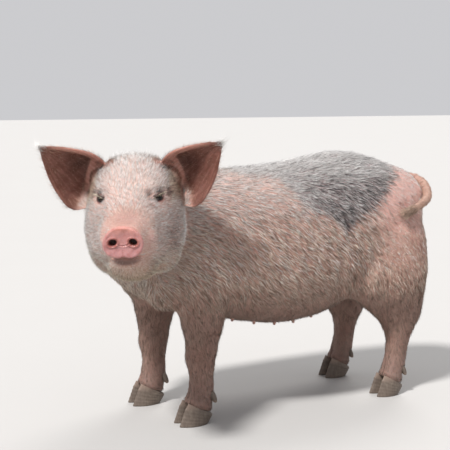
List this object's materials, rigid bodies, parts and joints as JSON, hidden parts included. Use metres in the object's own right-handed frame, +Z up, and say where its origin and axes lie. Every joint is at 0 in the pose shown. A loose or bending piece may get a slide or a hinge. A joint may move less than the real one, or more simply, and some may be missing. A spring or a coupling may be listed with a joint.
{
  "type": "domestic pig",
  "caption": "Life-size young domestic pig standing with its head turned to its left, pink bristly skin with a dark grey saddle patch, broad ears held out and short tail laid on the ham.",
  "frame": {"origin": "middle of the bounding box at the ground the claws stand on", "axes": "the pig's trunk points to -Y and its left side is +X, +Z is up; the head is turned to +X"},
  "size_m": [0.4002, 0.764, 0.4812],
  "materials": {
    "skin": "matt pink skin under pale bristles, dark grey in the saddle patch",
    "disc": "bare moist pink skin",
    "horn": "dull dark grey-brown horn",
    "eye": "wet, almost black"
  },
  "bodies": {
    "root": {"barrel": "skin", "claw_fore_left_inner": "horn", "claw_fore_left_outer": "horn", "claw_fore_right_inner": "horn", "claw_fore_right_outer": "horn", "claw_hind_left_inner": "horn", "claw_hind_left_outer": "horn", "claw_hind_right_inner": "horn", "claw_hind_right_outer": "horn", "dewclaw_fore_left_inner": "horn", "dewclaw_fore_left_outer": "horn", "dewclaw_fore_right_inner": "horn", "dewclaw_fore_right_outer": "horn", "dewclaw_hind_left_inner": "horn", "dewclaw_hind_left_outer": "horn", "dewclaw_hind_right_inner": "horn", "dewclaw_hind_right_outer": "horn", "ear_left": "skin", "ear_right": "skin", "eye_left": "eye", "eye_right": "eye", "foreleg_lower_left": "skin", "foreleg_lower_right": "skin", "foreleg_upper_left": "skin", "foreleg_upper_right": "skin", "head": "skin", "hind_leg_lower_left": "skin", "hind_leg_lower_right": "skin", "hind_leg_upper_left": "skin", "hind_leg_upper_right": "skin", "hindquarters": "skin", "neck": "skin", "shoulders": "skin", "snout": "disc", "tail_root": "skin", "tail_tip": "skin"}
  },
  "joints": []
}
